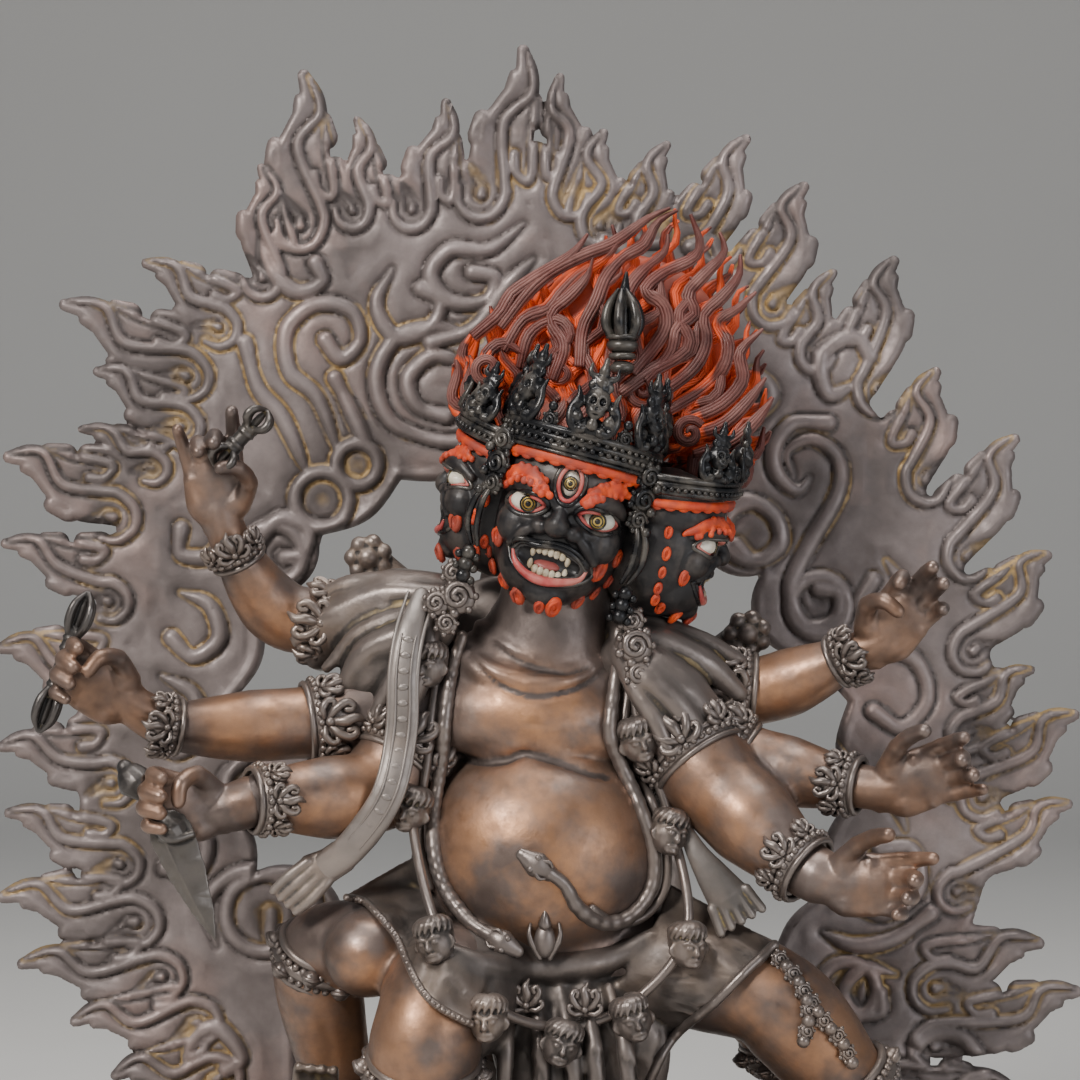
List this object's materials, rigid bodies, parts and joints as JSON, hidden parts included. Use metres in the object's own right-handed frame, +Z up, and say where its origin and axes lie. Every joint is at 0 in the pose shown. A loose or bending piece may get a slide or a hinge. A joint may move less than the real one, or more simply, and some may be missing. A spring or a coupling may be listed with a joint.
{
  "type": "vajrapani statue",
  "caption": "Wrathful many-armed guardian figure striding on an oval lotus plinth, with a standing ring of flames behind it, a standing ornament.",
  "frame": {"origin": "centre of the plinth's flat underside", "axes": "+Z up, -Y towards the viewer in front of the figure, +X to that viewer's right"},
  "size_m": [0.342, 0.15, 0.399],
  "materials": {
    "plinth_bronze": "oxidised cast copper alloy, satin, with ochre residue in the recesses",
    "figure_bronze": "dark brown patinated cast copper alloy with warm copper rubbed through on the belly and limbs; face, hair and crown cold painted",
    "flame_bronze": "grey brown patinated cast copper alloy, satin, with ochre residue beside the raised scrolls",
    "dark_bronze": "blackened cast copper alloy, semi-gloss"
  },
  "bodies": {
    "root": {"lotus_base": "plinth_bronze", "figure": "figure_bronze", "flame_mandorla": "flame_bronze", "dagger": "dark_bronze", "vajra_upper": "dark_bronze", "vajra_middle": "dark_bronze"}
  },
  "joints": []
}
